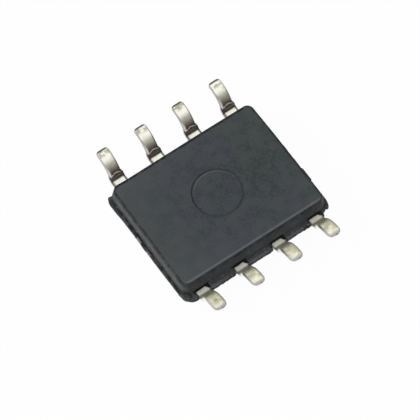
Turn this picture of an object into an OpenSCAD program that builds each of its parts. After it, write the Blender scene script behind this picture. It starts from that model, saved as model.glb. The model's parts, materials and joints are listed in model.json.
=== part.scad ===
// Small-outline amplifier chip with eight gull-wing leads, lying on its back with the soles up.
// X runs along the lead rows, Y across them, and Z up from the marked face that it rests on.
// The origin is the middle of that face. All sizes are millimetres, all angles degrees.

/* [Moulded body] */
// Length of the moulding along the lead rows, at the parting line
body_l = 4.9; // [4.7:0.01:5.1]
// Width of the moulding across the lead rows, at the parting line
body_w = 3.82; // [3.7:0.01:4.1]
// Height from the marked face to the middle of the leadframe
marked_h = 0.83; // [0.75:0.01:0.95]
// Height from the middle of the leadframe to the underside
under_h = 0.57; // [0.52:0.01:0.75]
// Draft of the moulded walls
draft = 10; // [5:0.5:13]
// Radius of the upright corners, at the parting line
corner_r = 0.3; // [0.26:0.01:0.45]
// Radius of the edges round both faces
edge_r = 0.05; // [0.03:0.01:0.1]

/* [Parting band] */
// How far the band stands proud between the leads
side_flash = 0.145; // [0.04:0.005:0.17]
// How far the band stands proud at the two short ends
end_flash = 0.055; // [0.03:0.005:0.1]
// Gap between a lead or a tie bar and the band beside it
notch_gap = 0.06; // [0.03:0.01:0.1]
// Length of band broken away at the gate and vent corners
corner_break = 0.27; // [0.2:0.01:0.4]
// How far the broken gate stands out of the band
gate_stub = 0.05; // [0.02:0.01:0.1]
// Width of the broken gate
gate_w = 0.45; // [0.3:0.01:0.6]
// Distance of the gate from the middle of its short end
gate_off = 0.75; // [0.6:0.01:0.9]

/* [Mould marks] */
// Diameter of the pin mark on the underside
pin_mark_d = 1.44; // [1:0.02:1.8]
// Width of the witness groove round the pin mark
pin_groove_w = 0.05; // [0.03:0.01:0.1]
// Depth of the witness groove
pin_groove_h = 0.05; // [0.02:0.01:0.08]
// How far the pin mark lies below the underside
pin_mark_h = 0.02; // [0.01:0.005:0.04]
// Diameter of the first-lead dimple in the marked face
dimple_d = 0.6; // [0.4:0.02:0.8]
// Depth of the first-lead dimple
dimple_h = 0.06; // [0.03:0.01:0.1]
// Distance of the dimple's middle from the two nearest walls
dimple_in = 0.75; // [0.65:0.01:0.9]

/* [Leads] */
// Distance between neighbouring leads of a row
pitch = 1.27; // [1.2:0.01:1.3]
// Thickness of the leadframe
frame_t = 0.16; // [0.12:0.01:0.25]
// Width of the leg and the foot
lead_w = 0.36; // [0.3:0.01:0.42]
// Width of the shoulder, left by the cut dam bar
shoulder_w = 0.43; // [0.4:0.01:0.55]
// Length of the flat shoulder outside the wall
shoulder_l = 0.18; // [0.08:0.01:0.24]
// Height of the wide shoulder above the middle of the leadframe
shoulder_h = 0.13; // [0.1:0.01:0.25]
// Height over which the shoulder narrows to the leg
neck_h = 0.08; // [0.04:0.01:0.12]
// Inside radius of the tight bend at the shoulder
bend_r = 0.08; // [0.05:0.01:0.16]
// Slope of the leg
leg_angle = 76; // [68:1:82]
// Length of the straight leg, before the long bend of the heel
leg_l = 0.03; // [0.02:0.01:0.12]
// Length of the flat sole, from the heel to the tip
foot_l = 0.085; // [0.05:0.005:0.4]
// Height of the soles above the underside
standoff = 0.12; // [0.08:0.01:0.25]
// Radius of the foot's corners at the tip
tip_r = 0.11; // [0.04:0.01:0.14]

/* [Inside the moulding] */
// Length of the die paddle along the lead rows
paddle_l = 3; // [2.4:0.05:3.3]
// Width of the die paddle across the lead rows
paddle_w = 2.1; // [1.9:0.05:2.4]
// How far the paddle is pressed towards the underside
downset = 0.15; // [0.1:0.01:0.2]
// Width of a tie bar
tie_w = 0.2; // [0.14:0.01:0.26]
// Distance between the two tie bars of a short end
tie_spacing = 0.49; // [0.44:0.01:0.6]
// Gap between the paddle and the fingers
finger_gap = 0.22; // [0.15:0.01:0.28]
// Length of a finger's wide bonding end
finger_l = 0.36; // [0.26:0.01:0.4]
// Width of a finger's wide bonding end
finger_w = 0.6; // [0.5:0.01:0.7]
// How far the outer fingers lean towards the middle
finger_lean = 0.25; // [0.1:0.01:0.35]
// Length of the silicon along the lead rows
die_l = 1.6; // [1.4:0.05:2.2]
// Width of the silicon across the lead rows
die_w = 1.4; // [1:0.05:1.7]
// Thickness of the silicon
die_t = 0.25; // [0.15:0.01:0.3]
// Thickness of the adhesive under the silicon
attach_t = 0.03; // [0.02:0.005:0.05]
// How far the adhesive spreads past the silicon
attach_rim = 0.06; // [0.02:0.01:0.12]
// Distance between neighbouring bond pads on the silicon
pad_pitch = 0.42; // [0.3:0.01:0.45]
// Distance of the bond pads from the edge of the silicon
pad_in = 0.12; // [0.08:0.01:0.2]
// Diameter of a bond wire
wire_d = 0.03; // [0.02:0.005:0.04]
// Diameter of the ball that starts a wire
ball_d = 0.08; // [0.06:0.01:0.1]
// Height of that ball
ball_h = 0.02; // [0.01:0.005:0.03]
// Height of a wire's loop over the silicon
loop_h = 0.16; // [0.12:0.01:0.22]
// Length of a wire's upright end on its finger
stitch_h = 0.05; // [0.03:0.01:0.08]

/* [Hidden] */
$fn = 48;

lead_count = 8;
row_count = lead_count / 2;
// Extra length of a cutting shape past the surface that it cuts
past = 0.2;
// Flats that stand for the round of a face's edge
edge_steps = 4;
// Flats that stand for each bend of a lead
bend_steps = 10;

// Levels above the marked face
underside_z = marked_h + under_h;
frame_low = marked_h - frame_t / 2;
paddle_low = frame_low + downset;
attach_low = paddle_low - attach_t;
die_low = attach_low - die_t;

// Form of a lead along the middle of its thickness. The heel's radius takes up what is left of the rise.
bend_mid = bend_r + frame_t / 2;
lead_rise = under_h + standoff - frame_t / 2;
heel_mid = (lead_rise - leg_l * sin(leg_angle)) / (1 - cos(leg_angle)) - bend_mid;
shoulder_end = body_w / 2 + shoulder_l;
foot_start = shoulder_end + (bend_mid + heel_mid) * sin(leg_angle) + leg_l * cos(leg_angle);
tip_end = foot_start + foot_l;
finger_in = paddle_w / 2 + finger_gap;

// Places of the leads, counted round the package from the first-lead corner
function row_side(i) = i <= row_count ? 1 : -1;
function row_place(i) = i <= row_count ? i - 1 : lead_count - i;
function row_step(i) = row_place(i) - (row_count - 1) / 2;
function lead_x(i) = row_step(i) * pitch;
function is_outer(i) = abs(row_step(i)) > 1;
function finger_x(i) = lead_x(i) - (is_outer(i) ? sign(lead_x(i)) * finger_lean : 0);

// A wire's two ends: a pad on the silicon and the bonding end of a finger
function wire_start(i) = [row_step(i) * pad_pitch, row_side(i) * (die_w / 2 - pad_in), die_low];
function wire_end(i) = [finger_x(i), row_side(i) * (finger_in + finger_l / 2), frame_low];

// Wall of one mould half from its axis out to reach, with the face's edge rounded
module wall_profile(reach, height) {
  round_z = height - edge_r;
  round_x = reach - round_z * tan(draft) - edge_r / cos(draft);
  edge_arc = [for (k = [0:edge_steps])
    let (turn = draft + (90 - draft) * k / edge_steps)
      [round_x + edge_r * cos(turn), round_z + edge_r * sin(turn)]];
  polygon(concat([[0, 0], [reach, 0]], edge_arc, [[0, height]]));
}

// Straight stretch of moulding with the wall profile on both sides
module wall_run(width, run, height) {
  rotate([90, 0, 0])
    linear_extrude(run, center = true) {
      wall_profile(width / 2, height);
      mirror([1, 0]) wall_profile(width / 2, height);
    }
}

// One half of the moulding, drafted upwards from the parting plane
module mould_half(height) {
  wall_run(body_l, body_w - 2 * corner_r, height);
  rotate(90) wall_run(body_w, body_l - 2 * corner_r, height);
  for (turn = [0, 180]) {
    rotate(turn)
      translate([body_l / 2 - corner_r, body_w / 2 - corner_r])
        rotate_extrude(angle = 90) wall_profile(corner_r, height);
    rotate(turn)
      translate([corner_r - body_l / 2, body_w / 2 - corner_r])
        rotate(90) rotate_extrude(angle = 90) wall_profile(corner_r, height);
  }
}

// Rounded rectangle about the origin
module round_rect(length, width, radius) {
  square([length - 2 * radius, width], center = true);
  square([length, width - 2 * radius], center = true);
  for (sx = [-1, 1], sy = [-1, 1])
    translate([sx * (length / 2 - radius), sy * (width / 2 - radius)]) circle(radius);
}

// Plan of the band of plastic that filled the leadframe's openings
module band_plan() {
  length = body_l + 2 * end_flash;
  width = body_w + 2 * side_flash;
  slot = shoulder_w + 2 * notch_gap;
  tie_slot = tie_w + 2 * notch_gap;
  difference() {
    union() {
      round_rect(length, width, corner_r);
      translate([length / 2, -gate_off]) square([2 * gate_stub, gate_w], center = true);
    }
    for (i = [1:lead_count])
      translate([lead_x(i), row_side(i) * (body_w / 2 + past)])
        square([slot, 2 * past + frame_t], center = true);
    for (sx = [-1, 1], sy = [-1, 1])
      translate([sx * (body_l / 2 + past), sy * tie_spacing / 2])
        square([2 * past + frame_t, tie_slot], center = true);
    for (turn = [0, 180])
      rotate(turn)
        translate([-length / 2 - past, width / 2 - corner_break])
          square([corner_break + past, corner_break + past]);
  }
}

// Outside of the moulding: two drafted halves and the parting band
module mould_form() {
  translate([0, 0, marked_h]) {
    mould_half(under_h);
    rotate([180, 0, 0]) mould_half(marked_h);
    linear_extrude(frame_t, center = true) band_plan();
  }
}

// Round pin mark in the underside, with its witness groove
module pin_mark() {
  translate([0, 0, underside_z - pin_mark_h]) cylinder(pin_mark_h + past, d = pin_mark_d);
  translate([0, 0, underside_z - pin_groove_h])
    difference() {
      cylinder(pin_groove_h + past, d = pin_mark_d);
      cylinder(pin_groove_h + past, d = pin_mark_d - 2 * pin_groove_w);
    }
}

module first_lead_dimple() {
  translate([dimple_in - body_l / 2, body_w / 2 - dimple_in, -past])
    cylinder(dimple_h + past, d = dimple_d);
}

// Stations along the middle of a lead's thickness, each a place and the slope there
function lead_stations(inner_end) = concat(
  [[[inner_end, 0], 0]],
  [for (k = [0:bend_steps])
    let (slope = leg_angle * k / bend_steps)
      [[shoulder_end + bend_mid * sin(slope), bend_mid * (1 - cos(slope))], slope]],
  [for (k = [bend_steps:-1:0])
    let (slope = leg_angle * k / bend_steps)
      [[foot_start - heel_mid * sin(slope), lead_rise - heel_mid * (1 - cos(slope))], slope]],
  [[[tip_end, lead_rise], 0]]);

// Side view of the formed lead: shoulder, tight bend, leg, long heel and sole
module lead_profile() {
  stations = lead_stations(body_w / 2 - past);
  last = len(stations) - 1;
  function skin(station, off) = station[0] + off * [-sin(station[1]), cos(station[1])];
  polygon(concat(
    [for (k = [0:last]) skin(stations[k], -frame_t / 2)],
    [for (k = [last:-1:0]) skin(stations[k], frame_t / 2)]));
}

// Front view of a lead: wide shoulder, neck and leg
module lead_front() {
  polygon([
    [-shoulder_w / 2, -frame_t],
    [shoulder_w / 2, -frame_t],
    [shoulder_w / 2, shoulder_h],
    [lead_w / 2, shoulder_h + neck_h],
    [lead_w / 2, lead_rise + frame_t],
    [-lead_w / 2, lead_rise + frame_t],
    [-lead_w / 2, shoulder_h + neck_h],
    [-shoulder_w / 2, shoulder_h],
  ]);
}

// Plan of a lead from inside the wall out to the rounded tip
module lead_plan() {
  root = body_w / 2 - 2 * past;
  neck = foot_start - frame_t / 2;
  translate([-shoulder_w / 2, root]) square([shoulder_w, neck - root]);
  translate([-lead_w / 2, neck]) square([lead_w, tip_end - tip_r - neck]);
  translate([tip_r - lead_w / 2, neck]) square([lead_w - 2 * tip_r, tip_end - neck]);
  for (sx = [-1, 1])
    translate([sx * (lead_w / 2 - tip_r), tip_end - tip_r]) circle(tip_r);
}

// Plan of the buried finger, from the wall in to its bonding end
module finger_plan(lean) {
  wall = body_w / 2 - past / 2;
  pad_out = finger_in + finger_l;
  polygon([
    [-shoulder_w / 2, wall],
    [-finger_w / 2 - lean, pad_out],
    [-finger_w / 2 - lean, finger_in],
    [finger_w / 2 - lean, finger_in],
    [finger_w / 2 - lean, pad_out],
    [shoulder_w / 2, wall],
  ]);
}

module lead(i) {
  lean = row_side(i) * (lead_x(i) - finger_x(i));
  color([0.8, 0.78, 0.72])
    translate([lead_x(i), 0, marked_h])
      rotate(row_side(i) > 0 ? 0 : 180) {
        intersection() {
          rotate([90, 0, 90]) linear_extrude(shoulder_w, center = true) lead_profile();
          rotate([90, 0, 0]) linear_extrude(4 * tip_end, center = true) lead_front();
          translate([0, 0, -frame_t]) linear_extrude(lead_rise + 2 * frame_t) lead_plan();
        }
        linear_extrude(frame_t, center = true) finger_plan(lean);
      }
}

// Side view of a tie bar: flat on the paddle, ramped, then flat out to its cut end
module tie_profile() {
  ramp = downset;
  ramp_end = paddle_l / 2 + 2 * ramp;
  cut_end = body_l / 2 + end_flash;
  polygon([
    [paddle_l / 2 - ramp, downset - frame_t / 2],
    [paddle_l / 2 + ramp, downset - frame_t / 2],
    [ramp_end, -frame_t / 2],
    [cut_end, -frame_t / 2],
    [cut_end, frame_t / 2],
    [ramp_end, frame_t / 2],
    [paddle_l / 2 + ramp, downset + frame_t / 2],
    [paddle_l / 2 - ramp, downset + frame_t / 2],
  ]);
}

module die_paddle() {
  color([0.74, 0.66, 0.56]) {
    translate([0, 0, paddle_low]) linear_extrude(frame_t) round_rect(paddle_l, paddle_w, tip_r);
    for (turn = [0, 180], sy = [-1, 1])
      rotate(turn)
        translate([0, sy * tie_spacing / 2, marked_h])
          rotate([90, 0, 0]) linear_extrude(tie_w, center = true) tie_profile();
  }
}

module die_attach() {
  color([0.62, 0.63, 0.65])
    translate([0, 0, attach_low])
      linear_extrude(attach_t)
        round_rect(die_l + 2 * attach_rim, die_w + 2 * attach_rim, attach_rim);
}

module silicon_die() {
  color([0.34, 0.36, 0.42])
    translate([0, 0, die_low])
      linear_extrude(die_t) square([die_l, die_w], center = true);
}

// Stations of a wire from its ball to its finger, each a point, a direction and a radius
function wire_stations(from, to) =
  let (
    run = [to.x - from.x, to.y - from.y, 0],
    ahead = run / norm(run),
    low = from.z - loop_h,
    r = wire_d / 2,
    down = [0, 0, -1],
    up = [0, 0, 1]
  ) [
    [from, down, ball_d / 2],
    [from + ball_h * down, down, ball_d / 2],
    [from + (ball_h + r) * down, down, r],
    [[from.x, from.y, low + 2 * wire_d], down, r],
    [[from.x, from.y, low] + 2 * wire_d * ahead, ahead, r],
    [[to.x, to.y, low + loop_h] - 2 * wire_d * ahead, ahead + up, r],
    [to + stitch_h * down, up, r],
    [to, up, r],
  ];

// Points of a ring about a station, square to its direction
function wire_ring(station, side, sides) =
  let (along = station[1] / norm(station[1]), over = cross(along, side))
    [for (j = [0:sides - 1])
      station[0] + station[2] * (cos(360 * j / sides) * side + sin(360 * j / sides) * over)];

module bond_wire(i) {
  sides = 6;
  from = wire_start(i);
  to = wire_end(i);
  run = [to.x - from.x, to.y - from.y, 0];
  side = [-run.y, run.x, 0] / norm(run);
  stations = wire_stations(from, to);
  last = len(stations) - 1;
  skin = [for (k = [0:last - 1], j = [0:sides - 1])
    let (a = k * sides + j, b = k * sides + (j + 1) % sides)
      each [[a, a + sides, b + sides], [a, b + sides, b]]];
  start_cap = [for (j = [0:sides - 1]) j];
  end_cap = [for (j = [sides - 1:-1:0]) last * sides + j];
  color([0.83, 0.68, 0.38])
    polyhedron(
      points = [for (station = stations) each wire_ring(station, side, sides)],
      faces = concat(skin, [start_cap, end_cap]));
}

module moulded_body() {
  color([0.27, 0.28, 0.29])
    difference() {
      mould_form();
      pin_mark();
      first_lead_dimple();
      for (i = [1:lead_count]) {
        lead(i);
        bond_wire(i);
      }
      die_paddle();
      die_attach();
      silicon_die();
    }
}

moulded_body();
for (i = [1:lead_count]) {
  lead(i);
  bond_wire(i);
}
die_paddle();
die_attach();
silicon_die();
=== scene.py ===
# %% [markdown]
# # An eight-lead amplifier chip, lying on its back
# The real part is a block of black moulding compound shot round a stamped copper leadframe. Eight
# tin-plated leads come out of its two long sides and bend up into flat soles. The packed model holds
# the sizes and the pieces. This lesson keeps them and makes what the eye sees: the moulding with its
# torn parting band, the swept leads, the finishes, the light and the camera.

# %% Load the packed model
import json
import math

import bmesh
import bpy
import numpy as np
from mathutils import Matrix, Vector, noise


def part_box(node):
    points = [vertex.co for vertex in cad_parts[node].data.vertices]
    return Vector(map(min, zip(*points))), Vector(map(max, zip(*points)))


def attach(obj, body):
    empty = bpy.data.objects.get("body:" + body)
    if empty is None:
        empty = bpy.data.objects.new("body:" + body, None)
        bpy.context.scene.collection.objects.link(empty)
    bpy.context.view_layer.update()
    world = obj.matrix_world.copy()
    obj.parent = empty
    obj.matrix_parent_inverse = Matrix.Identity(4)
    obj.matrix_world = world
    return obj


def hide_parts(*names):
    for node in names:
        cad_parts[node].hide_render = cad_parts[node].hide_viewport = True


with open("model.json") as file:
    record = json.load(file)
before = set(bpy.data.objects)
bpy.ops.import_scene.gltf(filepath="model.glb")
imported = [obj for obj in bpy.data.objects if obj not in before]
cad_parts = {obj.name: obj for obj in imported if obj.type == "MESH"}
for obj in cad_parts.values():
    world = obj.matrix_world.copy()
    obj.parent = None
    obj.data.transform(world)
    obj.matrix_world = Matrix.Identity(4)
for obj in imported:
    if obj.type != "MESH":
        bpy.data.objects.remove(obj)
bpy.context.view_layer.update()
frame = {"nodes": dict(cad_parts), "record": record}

# %% [markdown]
# ## Sizes
# The chip is only five millimetres long. Merging, filling and sweeping are happier with numbers near
# one, so every mesh is made in millimetres and shrunk to metres when it is done. What the packed model
# knows is measured from its boxes and mounts. The few values that boxes can't show are named here.

# %% Measure the model
MM = 0.001
FRAME_T = 0.16
SIDE_FLASH = 0.145
END_FLASH = 0.055


def box_mm(node):
    """Lowest and highest corner of a node, in millimetres."""
    low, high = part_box(node)
    return low / MM, high / MM


body_low, body_high = box_mm("moulded_body")
lead_low, lead_high = box_mm("lead_2")
underside_z = body_high.z
band_low = lead_low.z
band_high = band_low + FRAME_T
middle_z = band_low + FRAME_T / 2
half_l = -body_low.x - END_FLASH
half_w = body_high.y - SIDE_FLASH
mounts = frame["record"]["mounts"]
soles = [Vector(mount["pos_m"]) / MM for mount in mounts if mount["name"].startswith("sole")]
lead_xs = sorted({round(sole.x, 4) for sole in soles})
print("moulding in mm:", 2 * half_l, 2 * half_w, underside_z, "leads at x:", lead_xs)

# %% [markdown]
# ## One small class for node maths
# A finish is a sum of many small patterns, and each pattern is a chain of nodes. Wiring them by hand
# hides the idea. This class wraps a socket, so that `1 - mask * 0.5` adds the Math nodes by itself.
# One method, `node`, makes every other kind of node: its settings first, then its sockets.

# %% The wire class


class Wire:
    """A value in a node tree. Sums and products of wires add Math nodes to that tree."""

    def __init__(self, tree, socket=None):
        self.tree = tree
        self.socket = socket

    def node(self, kind, settings=None, sockets=None, out=0):
        """Adds a node of that kind and gives the wire of one of its outputs."""
        made = self.tree.nodes.new(kind)
        for name, value in (settings or {}).items():
            setattr(made, name, value)
        for key, value in (sockets or {}).items():
            if isinstance(value, Wire):
                self.tree.links.new(value.socket, made.inputs[key])
            else:
                made.inputs[key].default_value = value
        return Wire(self.tree, made.outputs[out] if len(made.outputs) else None)

    def output(self, name):
        """Another output of the node that this wire comes from."""
        return Wire(self.tree, self.socket.node.outputs[name])

    def split(self):
        """X of this vector. Its Y and Z are other outputs of the same node."""
        return self.node("ShaderNodeSeparateXYZ", None, {"Vector": self})

    def maths(self, operation, *values):
        return self.node("ShaderNodeMath", {"operation": operation}, dict(enumerate(values)))

    def __add__(self, other):
        return self.maths("ADD", self, other)

    def __sub__(self, other):
        return self.maths("SUBTRACT", self, other)

    def __rsub__(self, other):
        return self.maths("SUBTRACT", other, self)

    def __mul__(self, other):
        return self.maths("MULTIPLY", self, other)

    def __truediv__(self, other):
        return self.maths("DIVIDE", self, other)

    def __abs__(self):
        return self.maths("ABSOLUTE", self)

    __radd__ = __add__
    __rmul__ = __mul__

    def most(self, other):
        return self.maths("MAXIMUM", self, other)

    def ramp(self, low, high):
        """0 below low, 1 above high and a soft step between them."""
        return self.node("ShaderNodeMapRange", {"interpolation_type": "SMOOTHSTEP"},
                         {"Value": self, "From Min": low, "From Max": high})

    def blend(self, first, second):
        """A colour that goes from the first to the second as this wire goes from 0 to 1."""
        return self.node("ShaderNodeMix", {"data_type": "RGBA"}, {0: self, 6: first, 7: second}, out=2)


print("operators:", [name for name in vars(Wire) if name.startswith("__") and name != "__init__"])

# %% [markdown]
# ## Camera
# The photograph looks down on the underside from the left of the near row of leads. The angles and the
# distance come from matching the body's corners and the lead tips. A long lens far away would show no
# perspective, and the picture has a little, so the camera stands 60 mm off. It is turned a touch so
# that the middle of the underside falls where the picture has it, and needs no lens shift.

# %% Place the camera
VIEW_AZIMUTH = math.radians(-35.2)
VIEW_ELEVATION = math.radians(64.6)
VIEW_DISTANCE = 60
IMAGE_SIZE = 420
PX_PER_MM = 36.07
UNDERSIDE_PX = Vector((217.8, 192.5))


def add_object(name, data):
    """A new object in the scene."""
    made = bpy.data.objects.new(name, data)
    bpy.context.scene.collection.objects.link(made)
    return made


back = Vector((math.sin(VIEW_AZIMUTH) * math.cos(VIEW_ELEVATION),
               -math.cos(VIEW_AZIMUTH) * math.cos(VIEW_ELEVATION), math.sin(VIEW_ELEVATION)))
right = Vector((math.cos(VIEW_AZIMUTH), math.sin(VIEW_AZIMUTH), 0))
up = back.cross(right)
underside_middle = Vector((0, 0, underside_z))
off_axis = (UNDERSIDE_PX - Vector((IMAGE_SIZE / 2, IMAGE_SIZE / 2))) / PX_PER_MM
aim = underside_middle - right * off_axis.x + up * off_axis.y
eye = underside_middle + back * VIEW_DISTANCE

camera = add_object("camera", bpy.data.cameras.new("camera"))
bpy.context.scene.camera = camera
camera.location = eye * MM
camera.rotation_euler = (aim - eye).to_track_quat("-Z", "Y").to_euler()
camera.data.sensor_width = 36
camera.data.lens = PX_PER_MM * VIEW_DISTANCE / IMAGE_SIZE * camera.data.sensor_width
camera.data.clip_start = 0.1 * VIEW_DISTANCE * MM
print("lens in mm:", round(camera.data.lens, 1))

# %% [markdown]
# ## Light and floor
# The picture is lit softly from above and the left: the left wall is the brightest, the near wall lies
# in shade. One wide softbox and an even sky do that. Metal shows what it mirrors, and the leads go from
# white through grey to almost black, so the sky that they mirror is white overhead and on the far side,
# where the window would be, and dim behind the camera. The background is white: the floor is mostly
# white by itself, in the picture and in the metal. The rest of it is plain paint, which keeps the shadow.

# %% Sky, softbox and floor
SKY = 0.45
WINDOW_SIDE = Vector((-0.25, 0.45, 0.86)).normalized()
DIM_SKY = 0.1
DIM_BELOW = -0.35
WHITE_ABOVE = 0.3
SOFTBOX_FROM = Vector((-0.66, 0.22, 0.72)).normalized()
SOFTBOX_DISTANCE = 250
SOFTBOX_SIZE = 160
SOFTBOX_POWER = 0.42
FLOOR_RADIUS = 900
FLOOR_WHITE = 0.97
FLOOR_GLOW = 1.0
FLOOR_PAINT = (0.85, 0.85, 0.85, 1)


def new_finish(name):
    """An empty material and a wire to start its nodes from."""
    finish = bpy.data.materials.new(name)
    finish.use_nodes = True
    finish.node_tree.nodes.clear()
    return finish, Wire(finish.node_tree)


def seen_by_eye(start):
    """1 for rays that the camera, a mirror or a glass sends, and 0 for those that only carry light."""
    path = start.node("ShaderNodeLightPath", out="Is Camera Ray")
    return path.most(path.output("Is Glossy Ray")).most(path.output("Is Transmission Ray"))


bpy.context.scene.view_settings.view_transform = "Standard"
world = bpy.data.worlds.new("sky")
bpy.context.scene.world = world
world.use_nodes = True
world.node_tree.nodes.clear()
sky = Wire(world.node_tree)
direction = sky.node("ShaderNodeTexCoord", out="Generated")
facing = sky.node("ShaderNodeVectorMath", {"operation": "DOT_PRODUCT"},
                  {0: direction, 1: WINDOW_SIDE}, out="Value")
mirrored = sky.node("ShaderNodeLightPath", out="Is Glossy Ray")
eye_sky = 1 - mirrored * (1 - DIM_SKY) * (1 - facing.ramp(DIM_BELOW, WHITE_ABOVE))
light = SKY + (eye_sky - SKY) * seen_by_eye(sky)
glow = sky.node("ShaderNodeBackground", None, {"Strength": light, "Color": (1, 1, 1, 1)})
sky.node("ShaderNodeOutputWorld", None, {"Surface": glow})

softbox = add_object("softbox", bpy.data.lights.new("softbox", "AREA"))
softbox.data.energy = SOFTBOX_POWER
softbox.data.size = SOFTBOX_SIZE * MM
softbox.location = SOFTBOX_FROM * SOFTBOX_DISTANCE * MM
softbox.rotation_euler = (-SOFTBOX_FROM).to_track_quat("-Z", "Y").to_euler()
softbox.visible_glossy = False

floor_shape = bmesh.new()
bmesh.ops.create_circle(floor_shape, cap_ends=True, segments=64, radius=FLOOR_RADIUS * MM)
floor_mesh = bpy.data.meshes.new("floor")
floor_shape.to_mesh(floor_mesh)
floor_shape.free()
floor = add_object("floor", floor_mesh)
floor_finish, paper = new_finish("floor_paper")
paint = paper.node("ShaderNodeBsdfDiffuse", None, {"Color": FLOOR_PAINT})
white = paper.node("ShaderNodeEmission", None, {"Strength": FLOOR_GLOW})
sheet = paper.node("ShaderNodeMixShader", None, {0: FLOOR_WHITE * seen_by_eye(paper), 1: paint, 2: white})
paper.node("ShaderNodeOutputMaterial", None, {"Surface": sheet})
floor_mesh.materials.append(floor_finish)
print("softbox at mm:", [round(v) for v in SOFTBOX_FROM * SOFTBOX_DISTANCE])

# %% [markdown]
# ## Moulding compound
# The black plastic is epoxy packed with silica grains. From near it is a matt charcoal with a fine
# grain and faint cloudy patches, some greener and some bluer, and where the flash was torn off it breaks
# rough and speckled. Light and shade are painted in as well: the underside is made lighter towards its
# left end and its rim, the edges are worn and carry painted highlights and painted shade, and painted
# shade darkens its corners and pockets. One even colour would look like paint. The patterns are read in
# millimetres from the object's own coordinates, and three numbers stored on the mesh say how much wear
# and painted light, dirt and painted shade, and tearing it has at each place.

# %% Finish of the moulding compound


def place_mm(start):
    """Place on the piece, in millimetres."""
    place = start.node("ShaderNodeTexCoord", out="Object")
    return start.node("ShaderNodeMapping", None, {"Vector": place, "Scale": (1 / MM, 1 / MM, 1 / MM)})


def cloud(place, per_mm, detail=3.0):
    """Soft noise with that many waves to the millimetre."""
    return place.node("ShaderNodeTexNoise", None, {"Vector": place, "Scale": per_mm, "Detail": detail})


def stored(start, name):
    """A number stored on the mesh."""
    return start.node("ShaderNodeAttribute", {"attribute_name": name}, out="Fac")


def bump(height, depth_mm):
    """Normal of a surface whose height goes up by that many millimetres from 0 to 1."""
    return height.node("ShaderNodeBump", None, {"Height": height, "Distance": depth_mm * MM}, out="Normal")


def close_finish(start, sockets):
    shader = start.node("ShaderNodeBsdfPrincipled", None, sockets)
    start.node("ShaderNodeOutputMaterial", None, {"Surface": shader})


def make_mould_compound():
    finish, start = new_finish("mould_compound")
    place = place_mm(start)
    grain = cloud(place, 16, 4)
    weave = cloud(place, 5)
    patches = cloud(place, 1.1)
    speckle = cloud(place, 13, 3).ramp(0.58, 0.70)
    torn = stored(start, "torn")
    gaps = cloud(place, 2.6).ramp(0.44, 0.56)
    # Wear and painted light, and dirt and painted shade, as the mesh stores them, broken up by noise and the
    # torn places
    rubbed = stored(start, "rubbed") * (0.55 + weave * 0.9) * (1 - torn * 0.5 * gaps)
    dirty = stored(start, "dirty") * (0.35 + weave.ramp(0.35, 0.6) * 0.75) * (1 - torn * 0.75 * (1 - gaps))
    x = place.split()
    y = x.output("Y")
    normal = start.node("ShaderNodeNewGeometry", out="Normal")
    on_face = normal.split().output("Z").ramp(0.9, 0.98)
    # Painted light: the underside is made lighter towards its left end, where the softbox is, and towards its
    # rim
    face_light = on_face * (x * x * 0.034 + y * y * 0.063 - x * 0.065 + 0.02)
    bluer = (patches + 0.1 - x * x * 0.06).ramp(0.38, 0.62)
    charcoal = bluer.blend((0.030, 0.043, 0.040, 1), (0.034, 0.040, 0.053, 1))
    warmed = (torn * 0.8).blend(charcoal, (0.046, 0.044, 0.042, 1))
    clouded = (cloud(place, 3).ramp(0.35, 0.65) * 0.7).blend(warmed, (0.060, 0.065, 0.069, 1))
    face_lit = face_light.blend(clouded, (0.10, 0.105, 0.11, 1))
    grained = (grain.ramp(0.38, 0.65) * 0.6).blend(face_lit, (0.067, 0.072, 0.078, 1))
    # Pale wear and painted light, then dirt and painted shade, laid over the grain
    with_wear_and_light = (rubbed * 0.6).blend(grained, (0.16, 0.17, 0.175, 1))
    with_dirt_and_shade = dirty.blend(with_wear_and_light, (0.012, 0.013, 0.014, 1))
    broken = (torn * speckle * 0.7).blend(with_dirt_and_shade, (0.17, 0.17, 0.17, 1))
    close_finish(start, {
        "Base Color": broken,
        "Roughness": 0.52 + grain * 0.2 + torn * 0.1,
        "Specular IOR Level": 0.2,
        "Normal": bump(grain + torn * grain * 2, 0.006),
    })
    return finish


mould_compound = make_mould_compound()
print("nodes in the moulding compound:", len(mould_compound.node_tree.nodes))

# %% [markdown]
# ## Outline of the moulding
# Seen from above the moulding is a rectangle with round corners. It isn't quite true: the far edge draws
# in a hair towards the left, and so does the right end towards its far corner. One list of points round
# that outline, each with its outward normal, is enough for the whole block: every level of the wall is
# this same ring moved in or out along its normals. The torn band needs the points close together.

# %% Points round the moulding
CORNER_R = 0.3
OUTLINE_STEP = 0.02
FAR_TRIM = 0.025
END_TRIM = 0.022


def outline(length_half, width_half, corner, step):
    """Places and outward normals of points round a rectangle with round corners."""
    places, normals = [], []
    arc = np.linspace(0, math.pi / 2, math.ceil(math.pi / 2 * corner / step), endpoint=False)
    for quarter in range(4):
        turn = quarter * math.pi / 2
        out = np.array([math.cos(turn), math.sin(turn)])
        along = np.array([-out[1], out[0]])
        reach, side = (length_half, width_half) if quarter % 2 == 0 else (width_half, length_half)
        run = side - corner
        for u in np.linspace(-run, run, round(2 * run / step), endpoint=False):
            places.append(out * reach + along * u)
            normals.append(out)
        for angle in arc:
            normal = out * math.cos(angle) + along * math.sin(angle)
            places.append(out * (reach - corner) + along * run + normal * corner)
            normals.append(normal)
    return np.array(places), np.array(normals)


rim, rim_normal = outline(half_l, half_w, CORNER_R, OUTLINE_STEP)
part_x, part_y = rim[:, 0] / half_l, rim[:, 1] / half_w
towards_left = np.clip(0.2 - part_x, 0, 1) * np.clip(4 + 4 * part_x, 0.2, 1)
far_trim = FAR_TRIM * np.clip(part_y, 0, 1) * towards_left
end_trim = END_TRIM * np.clip(part_x, 0, 1) * np.clip(1.5 * part_y - 0.5, 0, 1)
rim = rim - np.column_stack([end_trim, far_trim])
print("points round the moulding:", len(rim))

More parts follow.
